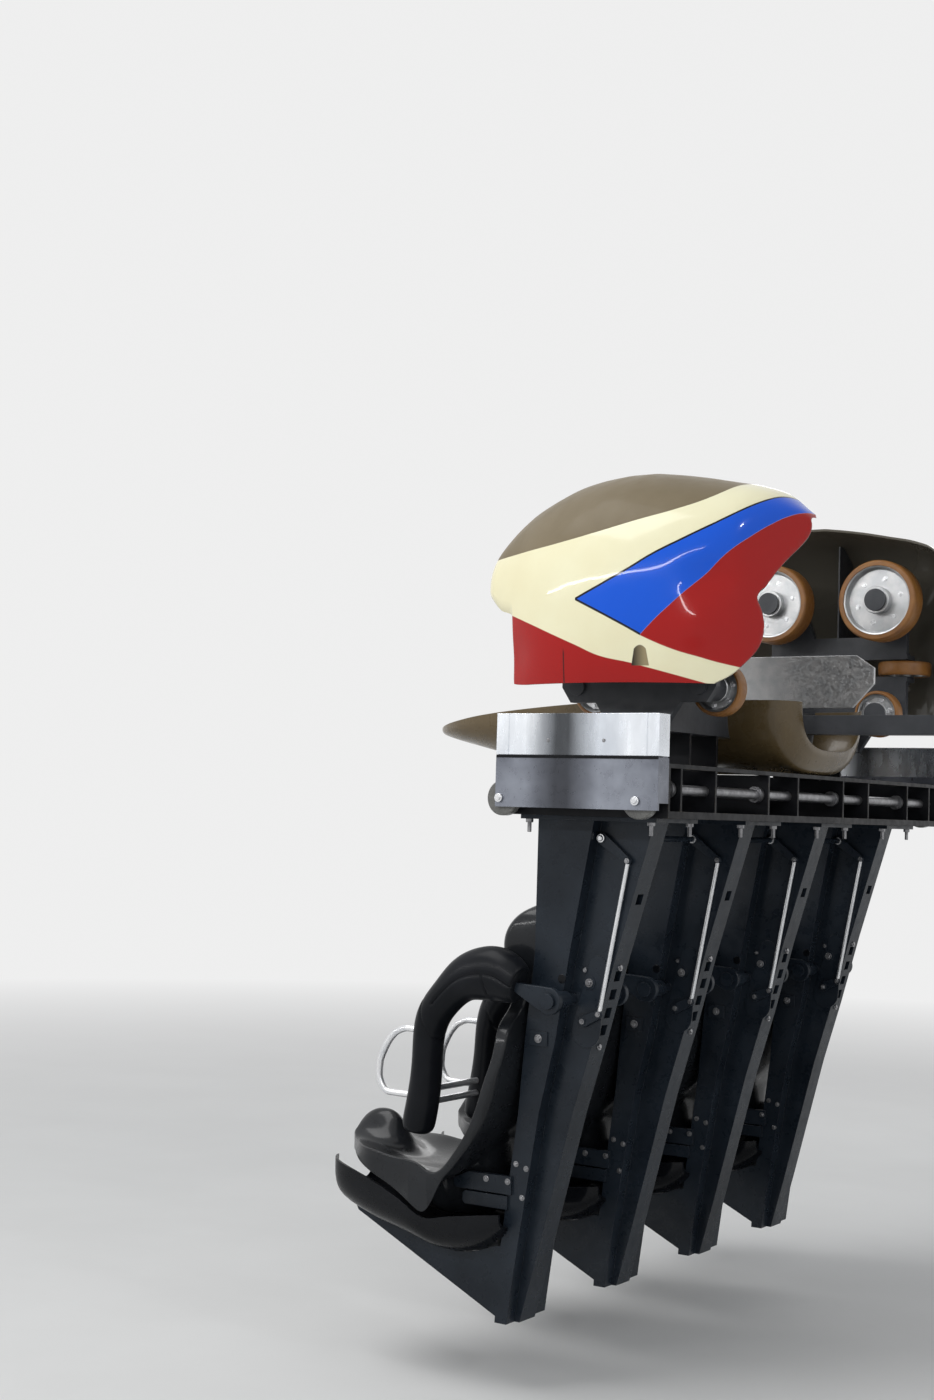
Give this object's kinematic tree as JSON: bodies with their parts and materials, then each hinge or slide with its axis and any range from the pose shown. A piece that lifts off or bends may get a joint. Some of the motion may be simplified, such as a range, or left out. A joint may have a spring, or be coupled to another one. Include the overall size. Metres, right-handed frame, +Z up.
{
  "type": "suspended roller coaster car",
  "caption": "Suspended roller coaster car: a row of seats with over-shoulder restraints hung under wheel carriers that clasp the tubular rails.",
  "frame": {"origin": "on the track's centreline, at the height of the rails' axes, halfway between the front and rear wheels", "axes": "+X forward, +Y to the car's left, +Z up"},
  "size_m": [1.984, 2.212, 2.485],
  "materials": {
    "black_steel": "gloss black paint",
    "carrier_steel": "satin dark grey paint",
    "bar_steel": "satin black paint",
    "bright_steel": "brushed stainless sheet",
    "rod_steel": "plated rod",
    "fin_metal": "worn alloy plate",
    "wheel_tread": "cast polyurethane on an alloy hub",
    "roller_plastic": "milky translucent plastic",
    "cover_gloss": "gloss gelcoat",
    "belly_gloss": "gloss gelcoat",
    "seat_plastic": "moulded shell, satin gloss",
    "tray_plastic": "moulded tray, satin gloss",
    "pad_foam": "skinned moulded foam"
  },
  "bodies": {
    "root": {"axle_beam": "carrier_steel", "carrier_left": "carrier_steel", "carrier_right": "carrier_steel", "wheel_cover_left": "cover_gloss", "wheel_cover_right": "cover_gloss", "belly_cover": "belly_gloss", "brake_fin": "fin_metal", "drawbar_front": "carrier_steel", "drawbar_rear": "carrier_steel", "row_frame": "black_steel", "row_ribs": "black_steel", "release_shaft": "rod_steel", "release_rods": "rod_steel", "end_cover_left": "bright_steel", "end_cover_right": "bright_steel", "end_plate_left": "black_steel", "end_plate_right": "black_steel", "seat_post_1": "black_steel", "seat_shell_1": "seat_plastic", "seat_tray_1": "tray_plastic", "seat_post_2": "black_steel", "seat_shell_2": "seat_plastic", "seat_tray_2": "tray_plastic", "seat_post_3": "black_steel", "seat_shell_3": "seat_plastic", "seat_tray_3": "tray_plastic", "seat_post_4": "black_steel", "seat_shell_4": "seat_plastic", "seat_tray_4": "tray_plastic"},
    "road_wheel_left_front": {"road_wheel_left_front": "wheel_tread"},
    "road_wheel_left_rear": {"road_wheel_left_rear": "wheel_tread"},
    "road_wheel_right_front": {"road_wheel_right_front": "wheel_tread"},
    "road_wheel_right_rear": {"road_wheel_right_rear": "wheel_tread"},
    "guide_wheel_left_front": {"guide_wheel_left_front": "wheel_tread"},
    "guide_wheel_left_rear": {"guide_wheel_left_rear": "wheel_tread"},
    "guide_wheel_right_front": {"guide_wheel_right_front": "wheel_tread"},
    "guide_wheel_right_rear": {"guide_wheel_right_rear": "wheel_tread"},
    "upstop_wheel_left_front": {"upstop_wheel_left_front": "wheel_tread"},
    "upstop_wheel_left_rear": {"upstop_wheel_left_rear": "wheel_tread"},
    "upstop_wheel_right_front": {"upstop_wheel_right_front": "wheel_tread"},
    "upstop_wheel_right_rear": {"upstop_wheel_right_rear": "wheel_tread"},
    "roller_left_front": {"roller_left_front": "roller_plastic"},
    "roller_left_rear": {"roller_left_rear": "roller_plastic"},
    "roller_right_front": {"roller_right_front": "roller_plastic"},
    "roller_right_rear": {"roller_right_rear": "roller_plastic"},
    "restraint_1": {"restraint_arms_1": "bar_steel", "restraint_pads_1": "pad_foam"},
    "restraint_2": {"restraint_arms_2": "bar_steel", "restraint_pads_2": "pad_foam"},
    "restraint_3": {"restraint_arms_3": "bar_steel", "restraint_pads_3": "pad_foam"},
    "restraint_4": {"restraint_arms_4": "bar_steel", "restraint_pads_4": "pad_foam"}
  },
  "joints": [
    {"name": "road_wheel_left_front_spin", "type": "hinge", "parent": "root", "child": "road_wheel_left_front", "pos_m": [0.2, 0.62, 0.224], "axis": [0, 1, 0], "continuous": true},
    {"name": "road_wheel_left_rear_spin", "type": "hinge", "parent": "root", "child": "road_wheel_left_rear", "pos_m": [-0.2, 0.62, 0.224], "axis": [0, 1, 0], "continuous": true},
    {"name": "road_wheel_right_front_spin", "type": "hinge", "parent": "root", "child": "road_wheel_right_front", "pos_m": [0.2, -0.62, 0.224], "axis": [0, 1, 0], "continuous": true},
    {"name": "road_wheel_right_rear_spin", "type": "hinge", "parent": "root", "child": "road_wheel_right_rear", "pos_m": [-0.2, -0.62, 0.224], "axis": [0, 1, 0], "continuous": true},
    {"name": "guide_wheel_left_front_spin", "type": "hinge", "parent": "root", "child": "guide_wheel_left_front", "pos_m": [0.225, 0.796, 0], "axis": [0, 0, 1], "continuous": true},
    {"name": "guide_wheel_left_rear_spin", "type": "hinge", "parent": "root", "child": "guide_wheel_left_rear", "pos_m": [-0.225, 0.796, 0], "axis": [0, 0, 1], "continuous": true},
    {"name": "guide_wheel_right_front_spin", "type": "hinge", "parent": "root", "child": "guide_wheel_right_front", "pos_m": [0.225, -0.796, 0], "axis": [0, 0, 1], "continuous": true},
    {"name": "guide_wheel_right_rear_spin", "type": "hinge", "parent": "root", "child": "guide_wheel_right_rear", "pos_m": [-0.225, -0.796, 0], "axis": [0, 0, 1], "continuous": true},
    {"name": "upstop_wheel_left_front_spin", "type": "hinge", "parent": "root", "child": "upstop_wheel_left_front", "pos_m": [0.2, 0.62, -0.168], "axis": [0, 1, 0], "continuous": true},
    {"name": "upstop_wheel_left_rear_spin", "type": "hinge", "parent": "root", "child": "upstop_wheel_left_rear", "pos_m": [-0.2, 0.62, -0.168], "axis": [0, 1, 0], "continuous": true},
    {"name": "upstop_wheel_right_front_spin", "type": "hinge", "parent": "root", "child": "upstop_wheel_right_front", "pos_m": [0.2, -0.62, -0.168], "axis": [0, 1, 0], "continuous": true},
    {"name": "upstop_wheel_right_rear_spin", "type": "hinge", "parent": "root", "child": "upstop_wheel_right_rear", "pos_m": [-0.2, -0.62, -0.168], "axis": [0, 1, 0], "continuous": true},
    {"name": "roller_left_front_spin", "type": "hinge", "parent": "root", "child": "roller_left_front", "pos_m": [0.246, 1.072, -0.505], "axis": [0, 1, 0], "continuous": true},
    {"name": "roller_left_rear_spin", "type": "hinge", "parent": "root", "child": "roller_left_rear", "pos_m": [-0.192, 1.072, -0.505], "axis": [0, 1, 0], "continuous": true},
    {"name": "roller_right_front_spin", "type": "hinge", "parent": "root", "child": "roller_right_front", "pos_m": [0.246, -1.072, -0.505], "axis": [0, 1, 0], "continuous": true},
    {"name": "roller_right_rear_spin", "type": "hinge", "parent": "root", "child": "roller_right_rear", "pos_m": [-0.192, -1.072, -0.505], "axis": [0, 1, 0], "continuous": true},
    {"name": "restraint_1_lift", "type": "hinge", "parent": "root", "child": "restraint_1", "pos_m": [0.093, 0.8565, -1.07], "axis": [0, -1, 0], "range_deg": [0, 68]},
    {"name": "restraint_2_lift", "type": "hinge", "parent": "root", "child": "restraint_2", "pos_m": [0.093, 0.2855, -1.07], "axis": [0, -1, 0], "range_deg": [0, 68]},
    {"name": "restraint_3_lift", "type": "hinge", "parent": "root", "child": "restraint_3", "pos_m": [0.093, -0.2855, -1.07], "axis": [0, -1, 0], "range_deg": [0, 68]},
    {"name": "restraint_4_lift", "type": "hinge", "parent": "root", "child": "restraint_4", "pos_m": [0.093, -0.8565, -1.07], "axis": [0, -1, 0], "range_deg": [0, 68]}
  ]
}
